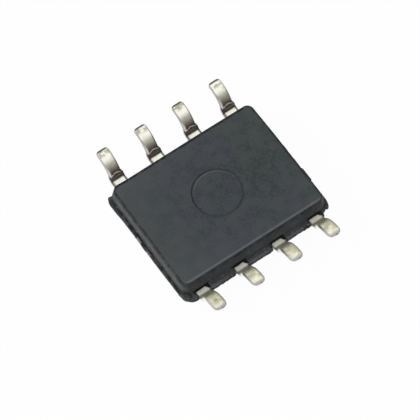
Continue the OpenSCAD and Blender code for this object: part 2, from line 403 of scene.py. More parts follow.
# %% [markdown]
# ## Parting band
# Where the two mould halves met, plastic filled the openings of the leadframe out to its dam bars. When
# the bars were punched away a ragged band stayed, with a pocket beside every lead and tie bar. Beside the
# two outer leads of the near row the plastic still clings to the lead. One corner of the band broke off
# and one is chipped, and at the right end the gate left a stub. The halves didn't meet quite true, so the
# near band is wider than the far one. It could be cut from a plain rim, but it changes all the way round.
# So it is worked out as one number for each point of the outline: how far the plastic stands out there.

# %% Reach of the band at each point
SHOULDER_W = 0.43
LEAD_TURN = math.radians(0.7)
TIE_W = 0.2
TIE_Y = 0.245
NOTCH_GAP = 0.015
NOTCH_SOFT = 0.015
TIE_DIP = 0.25
POCKET = 0.035
BREAK_FROM = Vector((-2.02, 1.76))
CHIP = Vector((2.26, -1.89))
CHIP_R = 0.08
GATE_W = 0.45
GATE_Y = -0.75
RAGGED = 0.012
UNEVEN = 0.05
SKEW = 0.03
END_SKEW = 0.024
LEFT_HOLLOW = 0.018
CLING_SOFT = 0.03
CORNER_CLING = 2.08
LAST_CLING = (1.5, 1.71)


def soft_step(value, low, high):
    t = np.clip((value - low) / (high - low), 0, 1)
    return t * t * (3 - 2 * t)


def outside(distance, half):
    """0 within half of a middle and 1 past it."""
    return soft_step(distance, half - NOTCH_SOFT, half + NOTCH_SOFT)


def past(value, start):
    """0 before a place and 1 just after it."""
    return soft_step(value, start, start + CLING_SOFT)


def from_leads(shift=0.0):
    """How far each point is from the nearest lead's middle, or from a place so far left of it."""
    return np.min([abs(rim_x + LEAD_TURN * rim_y - x + shift) for x in lead_xs], axis=0)


def ragged(per_mm, layer):
    """Broken-plastic noise round the outline, about -1 to 1."""
    return np.array([noise.fractal(Vector((x * per_mm, y * per_mm, layer)), 0.6, 2.0, 4) for x, y in rim])


rim_x, rim_y = rim.T
on_end, on_row = rim_normal[:, 0] ** 2, rim_normal[:, 1] ** 2
clinging = past(-rim_x, CORNER_CLING) + past(rim_x, LAST_CLING[0]) * (1 - past(rim_x, LAST_CLING[1]))
lead_gap = np.maximum(outside(from_leads(), SHOULDER_W / 2 + NOTCH_GAP), clinging * (rim_y < 0))
tie_gap = 1 - TIE_DIP * (1 - outside(abs(abs(rim_y) - TIE_Y), TIE_W / 2 + NOTCH_GAP))
kept = on_row * lead_gap + on_end * tie_gap
broken = soft_step(BREAK_FROM.x - rim_x, 0, 0.06) * soft_step(rim_y - BREAK_FROM.y, 0, 0.06)
chipped = 1 - outside(np.hypot(rim_x - CHIP.x, rim_y - CHIP.y), CHIP_R)
kept *= (1 - broken) * (1 - 0.5 * chipped)
gate = (1 - outside(abs(rim_y - GATE_Y), GATE_W / 2)) * (rim_x > 0) * on_end
flash = on_row * SIDE_FLASH + on_end * (END_FLASH + gate * (body_high.x + body_low.x) / 2)
left, right_end = on_end * (rim_x < 0), on_end * (rim_x > 0)
near, far = on_row * (rim_y < 0), on_row * (rim_y > 0)
flash += UNEVEN * (near - far + 0.2 * left) - SKEW * (near * rim_x / half_l - left * rim_y / half_w)
flash -= END_SKEW * right_end * np.maximum(rim_y, 0) / half_w
flash -= LEFT_HOLLOW * left * soft_step(rim_y, 0.2, 0.5) * (1 - soft_step(rim_y, 1.0, 1.4))
band_reach = (flash + POCKET) * kept - POCKET
band_torn = kept * (on_row + 0.5 * on_end)
print("band stands out by mm:", round(band_reach.min(), 3), "to", round(band_reach.max(), 3))

# %% [markdown]
# ## The moulded block
# The block could be a cube with bevels, but its walls lean in by a draft angle, its edges are round and
# the band changes all the way along. So it is lofted: rings of the outline are stacked from the marked
# face, round its edge, up the wall, out over the band, in again and round the edge of the underside.
# Every ring also says how much wear and painted light, dirt and painted shade, and tearing the plastic has
# there: painted shade sits in the corner over the band, in the pockets beside the leads and under the
# edges, the near edge is worn and carries a painted highlight, and painted light lifts the shaded near
# band and wall and makes a pale band up the left wall.

# %% Rings of the wall
DRAFT = math.radians(10)
EDGE_R = 0.05
EDGE_STEPS = 6
EDGE_SUPPORT = 0.025
BAND_BEVEL = 0.015
POCKET_LEFT = 0.06


def edge_round(height):
    """Offsets and rises from the wall to the face, round an edge at that height from the parting plane."""
    start_z = height - EDGE_R
    start_out = -start_z * math.tan(DRAFT) - EDGE_R / math.cos(DRAFT)
    turns = np.linspace(DRAFT, math.pi / 2, EDGE_STEPS + 1)
    return [(start_out + EDGE_R * math.cos(turn), start_z + EDGE_R * math.sin(turn)) for turn in turns]


def wall_out(z):
    return -abs(z - middle_z) * math.tan(DRAFT)


def ring(out, z, rubbed=0.0, dirty=0.0, torn=0.0):
    """One ring: its points, and how much wear and painted light, dirt and painted shade, and tearing each of
    them has.
    """
    count = len(rim)
    flat = rim + rim_normal * np.broadcast_to(out, count)[:, None]
    places = np.column_stack([flat, np.broadcast_to(z, count)])
    return places, [np.broadcast_to(value, count) for value in (rubbed, dirty, torn)]


marked_round = edge_round(middle_z)
under_round = edge_round(underside_z - middle_z)
ragged_by = RAGGED * kept * (on_row + 0.4 * on_end)
low_rag, mid_rag, high_rag = (ragged_by * ragged(per_mm, layer)
                              for per_mm, layer in ((9, 1.0), (6, 5.0), (9, 9.0)))
steps = np.linspace(0, 1, EDGE_STEPS + 1)
rings = [ring(marked_round[-1][0] - EDGE_SUPPORT, 0)]
rings += [ring(out, middle_z - rise, math.sin(math.pi * step))
          for (out, rise), step in zip(marked_round[::-1], steps)]
pocket = near * (1 - np.minimum(kept, outside(from_leads(POCKET_LEFT), SHOULDER_W / 2)))
shelf = near * kept
corner = 2 * np.sqrt(near * left)
# Painted shade lies along the band at the left end and in the pockets beside the near leads, and the near
# left corner is darkened too
band_top_shade = left + 0.9 * pocket + 0.9 * corner
# Up the band: its outer face is darkened, painted shade fills the corner where its top meets the wall, and
# painted light lifts the rim of the shaded near band
rings += [
    ring(wall_out(band_low), band_low, 0.2 * left, 0.3, 0.3 * kept),
    ring(band_reach - BAND_BEVEL + low_rag, band_low + 0.5 * abs(low_rag), 0, 0.8, band_torn),
    ring(band_reach + low_rag, band_low + BAND_BEVEL + abs(low_rag), 0, 0.9, band_torn),
    ring(band_reach + mid_rag, middle_z + mid_rag, 0, 0.8, band_torn),
    ring(band_reach + high_rag, band_high - BAND_BEVEL - abs(high_rag), 0,
         0.4 + 0.4 * left + 0.4 * corner, band_torn),
    ring(band_reach - BAND_BEVEL + high_rag, band_high - 0.5 * abs(high_rag), 0.9 * shelf, band_top_shade, band_torn),
    ring(0.5 * (band_reach - BAND_BEVEL + wall_out(band_high)), band_high, 0, band_top_shade + 0.3 * shelf, band_torn),
    ring(wall_out(band_high), band_high, 0, 1.5 * left + pocket + 0.9 * corner + 0.15 * shelf, 0.6 * kept),
]
# Heights up the wall in mm, and how much wear and painted light and how much dirt and painted shade it has
# there:
# painted light lifts the shaded lower near wall and makes a pale band up the left wall, and painted shade
# lies at the foot of the wall and under the edge
wall_marks = [
    (0.92, 0.7 * shelf, 1.4 * left + 0.6 * pocket),
    (0.97, 0.6 * near, 0.7 * left),
    (1.05, 0.35 * near + 0.4 * left, 0.0),
    (1.14, 0.15 * near + 0.9 * left, 0.0),
    (1.22, 0.05 * near + 0.2 * left, 0.0),
    (1.28, 0.0, 0.5 * near + 0.6 * left),
    (1.32, 0.0, near + left),
]
rings += [ring(wall_out(z), z, rubbed, dirty, 0.8 * left + 0.7 * near) for z, rubbed, dirty in wall_marks]
# Round the underside's edge: the near edge is worn and carries a painted highlight; painted shade darkens the
# far, right and left edges and the lower part of the near one
for (out, rise), step in zip(under_round, steps):
    low_part = 1 - soft_step(step, 0.1, 0.5)
    rings.append(ring(out, middle_z + rise, near * soft_step(step, 0.4, 0.9),
                      1.5 * far + 0.9 * right_end + left * (1 - step * step) + 0.6 * near * low_part))
rings += [ring(under_round[-1][0] - EDGE_SUPPORT, underside_z, 0.7 * near, 1.2 * far + 0.3 * right_end),
          ring(under_round[-1][0] - 2 * EDGE_SUPPORT, underside_z)]
print("rings:", len(rings))

# %% [markdown]
# Bridging each ring to the next gives the wall. Both faces carry a round mark: the ring of an ejector pin
# on the underside, and the dimple that shows the first lead on the other. A boolean cut would leave
# slivers, so each mark is turned as loops of its own, and the flat round it is filled with triangles.

# %% Loft the rings and turn the marks
MARK_POINTS = 128
PIN_R = 0.74
PIN_GROOVE_W = 0.05
PIN_GROOVE_H = 0.035
PIN_SUNK = 0.02
MARK_SOFT = 0.012
RING_LIT = Vector((0.3, 0.95))
DIMPLE_R = 0.3
DIMPLE_H = 0.06
DIMPLE_IN = 0.75


def add_loop(shape, places):
    return [shape.verts.new(place) for place in places]


def bridge(shape, first, second):
    """Quads from one loop to the next, with as many points."""
    count = len(first)
    for k in range(count):
        after = (k + 1) % count
        shape.faces.new((first[k], first[after], second[after], second[k]))


def turned_mark(shape, middle, profile):
    """A turned hollow: loops of the profile's radii and heights, closed at its middle."""
    angles = np.linspace(0, 2 * math.pi, MARK_POINTS, endpoint=False)
    loops = [add_loop(shape, [(middle[0] + radius * math.cos(a), middle[1] + radius * math.sin(a), z)
                              for a in angles]) for radius, z in profile]
    for first, second in zip(loops, loops[1:]):
        bridge(shape, first, second)
    shape.faces.new(loops[-1])
    return loops


def loop_edges(shape, loop):
    return [shape.edges.get((vert, after)) for vert, after in zip(loop, loop[1:] + loop[:1])]


body_shape = bmesh.new()
layers = [body_shape.verts.layers.float.new(name) for name in ("rubbed", "dirty", "torn")]
wall_loops = []
for places, wear in rings:
    loop = add_loop(body_shape, places)
    for layer, values in zip(layers, wear):
        for vert, value in zip(loop, values):
            vert[layer] = value
    wall_loops.append(loop)
for first, second in zip(wall_loops, wall_loops[1:]):
    bridge(body_shape, first, second)

groove_z = underside_z - PIN_GROOVE_H
sunk_z = underside_z - PIN_SUNK
groove_in = PIN_R - PIN_GROOVE_W
pin_loops = turned_mark(body_shape, (0, 0), [
    (PIN_R + 2 * MARK_SOFT, underside_z), (PIN_R + MARK_SOFT, underside_z), (PIN_R, underside_z - MARK_SOFT),
    (PIN_R - MARK_SOFT / 2, groove_z + MARK_SOFT / 2), (PIN_R - MARK_SOFT, groove_z),
    (groove_in + MARK_SOFT, groove_z), (groove_in + MARK_SOFT / 2, groove_z + MARK_SOFT / 2),
    (groove_in, sunk_z - MARK_SOFT), (groove_in - MARK_SOFT, sunk_z), (groove_in - 3 * MARK_SOFT, sunk_z)])
dimple_loops = turned_mark(body_shape, (DIMPLE_IN - half_l, half_w - DIMPLE_IN), [
    (DIMPLE_R + 2 * MARK_SOFT, 0), (DIMPLE_R + MARK_SOFT, 0), (DIMPLE_R, MARK_SOFT),
    (DIMPLE_R - MARK_SOFT, DIMPLE_H - MARK_SOFT), (DIMPLE_R - 2 * MARK_SOFT, DIMPLE_H),
    (DIMPLE_R - 4 * MARK_SOFT, DIMPLE_H)])
# Painted shade in the pin's groove, strongest at its left and right
for loop in pin_loops[1:6]:
    for vert in loop:
        vert[layers[1]] = 0.05 + 0.2 * vert.co.xy.normalized().x ** 2
# A painted highlight on the groove's inner wall, on the side towards RING_LIT
for loop in pin_loops[-4:-1]:
    for vert in loop:
        vert[layers[0]] = max(0, vert.co.xy.normalized().dot(RING_LIT))
for outer, inner in ((wall_loops[-1], pin_loops[0]), (wall_loops[0], dimple_loops[0])):
    bmesh.ops.triangle_fill(body_shape, use_beauty=True,
                            edges=loop_edges(body_shape, outer) + loop_edges(body_shape, inner))
bmesh.ops.recalc_face_normals(body_shape, faces=body_shape.faces)
open_edges = sum(not edge.is_manifold for edge in body_shape.edges)
print("faces of the block:", len(body_shape.faces), "open edges:", open_edges)

# %% [markdown]
# The loft is now one closed skin. It is shrunk to metres, shaded smooth except at its sharp folds, and
# takes the place of the plain moulding.

# %% The block as a piece
SHARP = math.radians(50)


def keep_piece(piece, slot, *nodes):
    """Fixes a finished piece to the body and hides the packed parts that it stands for."""
    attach(piece, "root")
    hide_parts(*nodes)


def shade(mesh):
    """Smooth shading with crisp folds."""
    mesh.shade_smooth()
    mesh.set_sharp_from_angle(angle=SHARP)


body_mesh = bpy.data.meshes.new("moulding")
body_shape.to_mesh(body_mesh)
body_shape.free()
body_mesh.transform(Matrix.Scale(MM, 4))
shade(body_mesh)
body_mesh.materials.append(mould_compound)
moulding = add_object("moulding", body_mesh)
keep_piece(moulding, "mould_compound", "moulded_body")
print("moulding in mm:", [round(v / MM, 3) for v in moulding.dimensions])

# %% [markdown]
# ## Tin plate
# The leads are copper with a coat of tin, a warm silver that mirrors the sky on the shoulders and soles
# and the dark wall on the legs. Forming leaves its marks: the soles are blotched, the heel is veiled, the
# bend keeps a brown tarnish, and the sheared sides and the cut tip are dull. The near row is more satin
# and yellow than the far one, with grey shoulders. Light and shade are painted on as well: a pale
# highlight line across the bend, highlights towards the near tips and on the left edges, shade along the
# rounded edges of the upper face, pale and dark sheared sides, and a contact shadow where the near
# shoulders meet the wall. Plain noise would ignore all that. The patterns follow the lead: they read
# how far along and across it a point lies and how bright its row is, which the sweep below stores.

# %% Finish of the leads
# Place and bow of the painted highlight line across the bend, and the probe mark
HIGHLIGHT_LINE = 0.16
HIGHLIGHT_BOW = 0.08
PROBE_BACK = 0.285
PROBE_SIZE = (0.075, 0.045)


def make_tin_plate(wall_at, leg_at, tip_at, probed):
    finish, start = new_finish("tin_plate")
    place = place_mm(start)
    along, across, tone = (stored(start, name) for name in ("along", "across", "tone"))
    normal = start.node("ShaderNodeNewGeometry", out="Normal")
    facing_x = normal.split()
    upward = facing_x.output("Z").ramp(0.05, 0.4)
    leftward = (facing_x * -1.0).ramp(0.3, 0.8)
    blotch = cloud(place, 6, 4)
    fine = cloud(place, 40, 3)
    strip = start.node("ShaderNodeCombineXYZ", None, {"X": across * 5, "Y": along * 1.2, "Z": tone * 7})
    drawn = cloud(strip, 3, 2)
    # The near row is satin. Leftness is positive on the left edge in both rows
    satin = 1 - tone.ramp(0.55, 0.7)
    sole = along.ramp(leg_at + 0.25, leg_at + 0.6)
    tip_highlight = along.ramp(tip_at - 0.22, tip_at - 0.11) * satin
    leftness = across * (satin * 2 - 1)
    block = 1 - along.ramp(leg_at - 0.15, leg_at)
    # Tin brightness: random for each lead and blotched, brighter on the shoulder, with a painted highlight
    # towards the near tips and painted light on the left edge, where the light falls
    burnish_and_light = (tone + (blotch - 0.5) * 1.5 + block * 0.35 + (1 - sole) * 0.1 + tip_highlight * 0.2
               + leftness * 0.14).ramp(0.1, 0.8)
    # Tin, grey on the near shoulders and smeared by the far tips
    bright = satin.blend((0.99, 0.98, 0.87, 1), (0.95, 0.935, 0.74, 1))
    tin = burnish_and_light.blend((0.50, 0.49, 0.33, 1), bright)
    streaked = (drawn.ramp(0.45, 0.75) * 0.3).blend(tin, (0.70, 0.69, 0.60, 1))
    greyed = (block * satin * 0.9).blend(streaked, (0.60, 0.59, 0.53, 1))
    by_tip = along.ramp(tip_at - 0.28, tip_at - 0.16)
    smears = by_tip * (1 - satin) * cloud(place, 8, 3).ramp(0.42, 0.56)
    smeared = (smears * 0.85).blend(greyed, (0.36, 0.36, 0.24, 1))
    # Veiled heel, brown bend and a painted highlight line across the bend, which is also less metallic and
    # raised a little in the bump
    folded = along.ramp(leg_at - 0.21 - satin * 0.06, leg_at - 0.07 - satin * 0.11)
    veil = (1 - along.ramp(leg_at + 0.44, leg_at + 0.62)) * folded * upward
    dulled = (veil * (0.65 + blotch * 0.6) * (1 - satin * 0.7)).blend(smeared, (0.50, 0.49, 0.41, 1))
    bend = folded * (1 - along.ramp(leg_at + 0.24 - satin * 0.16, leg_at + 0.40 - satin * 0.12))
    browned = bend * upward * (1 - satin * 0.4)
    deep = along.ramp(leg_at + 0.16, leg_at + 0.36).blend((0.20, 0.14, 0.11, 1), (0.52, 0.42, 0.34, 1))
    brown = satin.blend(deep, (0.26, 0.23, 0.14, 1))
    tarnished = (browned * (0.6 + blotch * 0.6)).blend(dulled, brown)
    off_line = along - leg_at - HIGHLIGHT_LINE + across * across * HIGHLIGHT_BOW + (blotch - 0.5) * 0.04
    line = (1 - abs(off_line).ramp(0.01, 0.035)) * (1 - satin)
    with_highlight_line = (line * 0.9).blend(tarnished, (0.80, 0.73, 0.67, 1))
    # Painted shade along the rounded edges of the upper face and at the tip, almost black at the bend,
    # lighter towards the near tips and less on the left half of the near row, where the light falls; these
    # edges are also less metallic and rougher
    left_half = leftness.ramp(0, 0.2)
    off_middle = abs(across) - (0.12 - block * 0.2) * (1 - satin) - 0.06 * left_half
    edge_shade = off_middle.ramp(0.58, 0.8) * upward * (1 - left_half * (1 - browned) * satin * 0.6)
    rim = edge_shade.most(along.ramp(tip_at - 0.1, tip_at - 0.05))
    by_end = along.ramp(tip_at - 0.16, tip_at - 0.1)
    edge_shade_by_tip = (satin * by_end).blend((0.34, 0.34, 0.30, 1), (0.52, 0.51, 0.47, 1))
    edge_shade_colour = veil.most(block * (1 - satin)).blend(edge_shade_by_tip, (0.16, 0.155, 0.125, 1))
    with_edge_shade = (rim * 0.95).blend(with_highlight_line, browned.blend(edge_shade_colour, (0.02, 0.018, 0.013, 1)))
    # Sheared sides of the strip, with painted light and shade: pale grey on the left sides of the far legs,
    # dark on the left sides of the inner near legs, and by the bend a painted reflection of the white floor
    # in the far row and grey in the near one
    down_leg = 1 - along.ramp(leg_at + 0.4, tip_at - 0.1)
    inner = satin * place.split().ramp(-1.6, -1.5)
    flank_at = leg_at + 0.3 - inner * 0.1 - (1 - satin) * 0.28
    flank = leftward * along.ramp(flank_at, flank_at + 0.15)
    low_leg = (1 - along.ramp(leg_at + 0.2, leg_at + 0.45)) * (1 - satin)
    far_flank_light = low_leg.blend((0.42, 0.41, 0.39, 1), (0.68, 0.67, 0.64, 1))
    flank_light_and_shade = (down_leg * inner).blend(far_flank_light, (0.04, 0.036, 0.024, 1))
    open_side = (1 - upward) * (1 - along.ramp(leg_at + 0.15, leg_at + 0.3))
    side_reflection = satin.blend((0.53, 0.52, 0.49, 1), (1, 1, 1, 1))
    with_side_paint = (flank * 0.9).blend(open_side.blend(with_edge_shade, side_reflection), flank_light_and_shade)
    # Cut tip, a painted contact shadow on the near shoulders by the wall, and the mark of a test probe
    capped = along.ramp(tip_at - 0.02, tip_at - 0.005) * satin
    ended = capped.blend(with_side_paint, (0.75, 0.74, 0.70, 1))
    cut = along.ramp(tip_at - 0.09, tip_at - 0.05)
    sheared = (cut * (1 - satin) * 0.95).blend(ended, (0.06, 0.058, 0.04, 1))
    shadow_reach = (across * -1.0).ramp(0.3, 0.7) * 0.09
    shaded = 1 - (along - shadow_reach + (blotch - 0.5) * 0.05).ramp(wall_at + 0.025, wall_at + 0.055)
    with_contact_shadow = (shaded * satin).blend(sheared, (0.01, 0.01, 0.01, 1))
    mark = start.node("ShaderNodeVectorMath", {"operation": "DIVIDE"}, {
        0: start.node("ShaderNodeVectorMath", {"operation": "SUBTRACT"}, {0: place, 1: probed}),
        1: (*PROBE_SIZE, 1)})
    from_mark = start.node("ShaderNodeVectorMath", {"operation": "LENGTH"}, {0: mark}, out="Value")
    pressed = 1 - from_mark.ramp(0.6, 1.1)
    close_finish(start, {
        "Base Color": (pressed * 0.6).blend(with_contact_shadow, (0.30, 0.30, 0.20, 1)),
        "Metallic": 1 - line * 0.5 - satin * 0.15 - rim * 0.5 - browned * 0.4 - flank * 0.8 - capped,
        "Roughness": 0.3 + fine * 0.1 + (1 - burnish_and_light) * 0.08 + rim * 0.1,
        "Normal": bump(fine + drawn * 0.6 + line * 8, 0.0025),
    })
    return finish


print("pale line past the bend in mm:", HIGHLIGHT_LINE, "probe mark in mm:", PROBE_SIZE)

# %% [markdown]
# ## Gull-wing leads
# A lead is a flat strip that runs out of the wall, bends tightly up into the leg and then rolls out over
# a long heel into the sole. It could be boxes with bevels, but the real strip keeps its thickness round
# both bends, so it is swept: a Geometry Nodes tree rounds the two corners of a simple path, each with
# its own radius, sweeps a thin rounded section along it and then sets the width at each place, from the
# bonding end inside through the shoulder and the neck to the rounded tip. One tree makes all eight. It
# needs a path and a section to read, which are made first.

# %% Path and section of a lead
LEAD_W = 0.36
LEG_ANGLE = math.radians(76)
LEG_LENGTH = 0.03
BEND_R = 0.16
SHOULDER_END = half_w + 0.18
SECTION_R = 0.055
SECTION_STEPS = 5


def line_object(name, points, closed=False):
    """A curve of straight lines through the points, for a tree to read."""
    curve = bpy.data.curves.new(name, "CURVE")
    curve.dimensions = "3D"
    spline = curve.splines.new("POLY")
    spline.points.add(len(points) - 1)
    for point, place in zip(spline.points, points):
        point.co = (*place, 1)
    spline.use_cyclic_u = closed
    return add_object(name, curve)


foot_rise = lead_high.z - FRAME_T / 2 - middle_z
heel_r = (foot_rise - LEG_LENGTH * math.sin(LEG_ANGLE)) / (1 - math.cos(LEG_ANGLE)) - BEND_R
low_corner = SHOULDER_END + BEND_R * math.tan(LEG_ANGLE / 2)
high_corner = low_corner + foot_rise / math.tan(LEG_ANGLE)
lead_path = line_object("lead_path", [
    (0, lead_low.y, 0), (0, low_corner, 0), (0, high_corner, foot_rise), (0, lead_high.y, foot_rise)])

section_rim, _ = outline(LEAD_W / 2, FRAME_T / 2, SECTION_R, SECTION_R * math.pi / 2 / SECTION_STEPS)
corner_only = [place for place in section_rim
               if abs(place[0]) > LEAD_W / 2 - 2 * SECTION_R and abs(place[1]) > FRAME_T / 2 - 2 * SECTION_R]
lead_section = line_object("lead_section", [(x, y, 0) for x, y in corner_only], closed=True)
shoulder_at = SHOULDER_END - lead_low.y
leg_at = shoulder_at + BEND_R * LEG_ANGLE
sole_at = leg_at + LEG_LENGTH + heel_r * LEG_ANGLE
tip_at = sole_at + lead_high.y - high_corner - heel_r * math.tan(LEG_ANGLE / 2)
print("strip in mm:", round(tip_at, 3), "heel radius:", round(heel_r, 3), "section points:", len(corner_only))

# %% [markdown]
# Two trees are used in this lesson. Both have named inputs, store numbers on points, and end as one mesh
# with its finish. A modifier runs a tree, and its result is kept as a plain mesh.

# %% Helpers for trees


def new_tree(name, inputs):
    """A Geometry Nodes tree, the wires of its named inputs and their identifiers."""
    tree = bpy.data.node_groups.new(name, "GeometryNodeTree")
    tree.interface.new_socket("Geometry", in_out="OUTPUT", socket_type="NodeSocketGeometry")
    ids = {label: tree.interface.new_socket(label, in_out="INPUT", socket_type=kind).identifier
           for label, kind in inputs.items()}
    entry = tree.nodes.new("NodeGroupInput")
    return tree, {label: Wire(tree, entry.outputs[label]) for label in inputs}, ids


def store(geometry, name, kind, value):
    return geometry.node("GeometryNodeStoreNamedAttribute", {"data_type": kind, "domain": "POINT"},
                         {"Geometry": geometry, "Name": name, "Value": value})


def close_tree(geometry, finish):
    """Shrinks the shape to metres, makes it one mesh, gives it its finish and ends the tree."""
    small = geometry.node("GeometryNodeTransform", None, {"Geometry": geometry, "Scale": (MM, MM, MM)})
    real = small.node("GeometryNodeRealizeInstances", None, {"Geometry": small})
    done = real.node("GeometryNodeSetMaterial", None, {"Geometry": real, "Material": finish})
    done.node("NodeGroupOutput", None, {"Geometry": done})


def run_tree(name, tree, ids, values):
    """The plain mesh that a tree makes from these values, as an object at the origin."""
    made = add_object(name, bpy.data.meshes.new(name))
    modifier = made.modifiers.new("shape", "NODES")
    modifier.node_group = tree
    for label, value in values.items():
        modifier[ids[label]] = value
    graph = bpy.context.evaluated_depsgraph_get()
    mesh = bpy.data.meshes.new_from_object(made.evaluated_get(graph), preserve_all_data_layers=True,
                                           depsgraph=graph)
    made.modifiers.remove(modifier)
    made.data = mesh
    return made


print("helpers for trees:", [helper.__name__ for helper in (new_tree, store, close_tree, run_tree)])

# %% [markdown]
# The lead's tree stores how far along the path a point is and where the path is there, so that after the
# sweep each point knows its arm from the middle of the strip. The arm's X is then moved to set the width:
# a wide shoulder, a narrow leg, a waist on the left edge over the bend, and corners rounded off at the tip.

# %% The tree that sweeps a lead
LEAD_SIZES = (
    "Bend radius", "Heel radius", "Edge radius", "Bonding width", "Bonding end", "Wall", "Lean",
    "Shoulder width", "Shoulder shift", "Neck start", "Neck end", "Leg width", "Leg shift", "Waist",
    "Waist side", "Waist depth", "Waist start", "Waist full", "Waist ease", "Waist end", "Tip radius",
    "Tip skew", "Tone")
LEAD_INPUTS = {
    "Path": "NodeSocketObject", "Section": "NodeSocketObject", "Place": "NodeSocketVector",
    "Turn": "NodeSocketVector", **{size: "NodeSocketFloat" for size in LEAD_SIZES}}
BEND_POINTS = 18
PATH_POINTS = 170
UPPER_SOFT = 0.03


def rounded_off(distance, radius):
    """How much a round end of that radius takes off, at a distance from the end."""
    short = (radius - distance).most(0.0)
    left = (radius * radius - short * short).most(0.0)
    return radius - left.maths("SQRT", left)


def make_lead_tree(finish):
    tree, given, ids = new_tree("gull_wing_lead", LEAD_INPUTS)
    start = Wire(tree)
    path = start.node("GeometryNodeObjectInfo", None, {"Object": given["Path"]}, out="Geometry")
    section = start.node("GeometryNodeObjectInfo", None, {"Object": given["Section"]}, out="Geometry")
    second = start.node("GeometryNodeInputIndex").ramp(1, 2)
    radius = given["Bend radius"] + (given["Heel radius"] - given["Bend radius"]) * second
    bent = path.node("GeometryNodeFilletCurve", {"mode": "POLY"},
                     {"Curve": path, "Count": BEND_POINTS, "Radius": radius})
    fine = bent.node("GeometryNodeResampleCurve", {"mode": "COUNT"}, {"Curve": bent, "Count": PATH_POINTS})
    length = start.node("GeometryNodeSplineParameter", out="Length")
    kept = store(fine, "along", "FLOAT", length)
    kept = store(kept, "centre", "FLOAT_VECTOR", start.node("GeometryNodeInputPosition"))
    strip = kept.node("GeometryNodeCurveToMesh", None,
                      {"Curve": kept, "Profile Curve": section, "Fill Caps": True})

    along = start.node("GeometryNodeInputNamedAttribute", {"data_type": "FLOAT"}, {"Name": "along"})
    centre = start.node("GeometryNodeInputNamedAttribute", {"data_type": "FLOAT_VECTOR"}, {"Name": "centre"})
    whole = start.node("GeometryNodeCurveLength", None, {"Curve": fine})
    arm = start.node("ShaderNodeVectorMath", {"operation": "SUBTRACT"},
                     {0: start.node("GeometryNodeInputPosition"), 1: centre})
    arm_x = arm.split()
    arm_y, arm_z = arm_x.output("Y"), arm_x.output("Z")
    into_wall = along.ramp(given["Bonding end"], given["Wall"])
    into_leg = along.ramp(given["Neck start"], given["Neck end"])
    width = (given["Bonding width"] + (given["Shoulder width"] - given["Bonding width"]) * into_wall
             + (given["Leg width"] - given["Shoulder width"]) * into_leg)
    to_tip = whole - along
    side = arm_x.maths("SIGN", arm_x)
    tip_r = given["Tip radius"] + side * given["Tip skew"]
    widen = (width - LEAD_W) * 0.5 - rounded_off(to_tip, tip_r)
    upper = (arm_z - arm_y).ramp(-UPPER_SOFT, UPPER_SOFT).most(given["Waist depth"])
    into_waist = along.ramp(given["Waist start"], given["Waist full"])
    waist = given["Waist"] * upper * into_waist * (1 - along.ramp(given["Waist ease"], given["Waist end"]))
    shift = given["Leg shift"] * into_leg + given["Shoulder shift"] * into_wall * (1 - into_leg)
    new_x = (arm_x + side * widen - given["Lean"] * (1 - into_wall) + shift
             - (side + given["Waist side"]) * waist * 0.5)
    thin = 1 - rounded_off(to_tip, given["Edge radius"]) / (FRAME_T / 2)
    new_arm = start.node("ShaderNodeCombineXYZ", None, {"X": new_x, "Y": arm_y * thin, "Z": arm_z * thin})
    place = start.node("ShaderNodeVectorMath", {"operation": "ADD"}, {0: centre, 1: new_arm})
    marked = store(strip, "across", "FLOAT", arm_x / (LEAD_W / 2))
    marked = store(marked, "tone", "FLOAT", given["Tone"])
    shaped = marked.node("GeometryNodeSetPosition", None, {"Geometry": marked, "Position": place})
    bare = shaped.node("GeometryNodeRemoveAttribute", None, {"Geometry": shaped, "Name": "centre"})
    smooth = bare.node("GeometryNodeSetShadeSmooth", None, {"Geometry": bare})
    set_down = smooth.node("GeometryNodeTransform", None,
                           {"Geometry": smooth, "Translation": given["Place"], "Rotation": given["Turn"]})
    close_tree(set_down, finish)
    return tree, ids


probed_sole = (soles[-1].x, PROBE_BACK - lead_high.y, lead_high.z)
tin_plate = make_tin_plate(half_w - lead_low.y, leg_at, tip_at, probed_sole)
lead_tree, lead_ids = make_lead_tree(tin_plate)
print("nodes in the lead's tree:", len(lead_tree.nodes))

# %% [markdown]
# The tree is run once for each lead. The rows face opposite ways, and each was formed by its own tool and
# rubbed to its own brightness. A near leg has its waist through the whole thickness, a far one only on
# its upper face, so that its pale sheared side shows. The outer leads lean towards the middle inside, and
# the whole leadframe lies turned by a fraction of a degree.

# %% Eight leads
BONDING_LENGTH = 0.36
WALL_IN = 0.1
NECK_LENGTH = 0.2
OUTER_LEAN = 0.25
TONE_STEP = 0.04
WAIST_AT = {"Waist start": -0.05, "Waist full": 0.1, "Waist ease": 0.15, "Waist end": 0.6}
FAR_ROW = {
    "Shoulder width": SHOULDER_W + 0.03, "Shoulder shift": 0.015, "Neck start": leg_at - 0.01,
    "Leg width": 0.385, "Leg shift": -0.0125, "Waist": 0.04, "Waist side": -1.0, "Waist depth": 0.0,
    "Tip radius": 0.1, "Tip skew": 0.0, "Tone": 0.85}
NEAR_ROW = {
    "Shoulder width": SHOULDER_W, "Shoulder shift": 0.0, "Neck start": leg_at - 0.12,
    "Leg width": 0.395, "Leg shift": 0.025, "Waist": 0.03, "Waist side": 1.0, "Waist depth": 1.0,
    "Tip radius": 0.145, "Tip skew": 0.035, "Tone": 0.34}

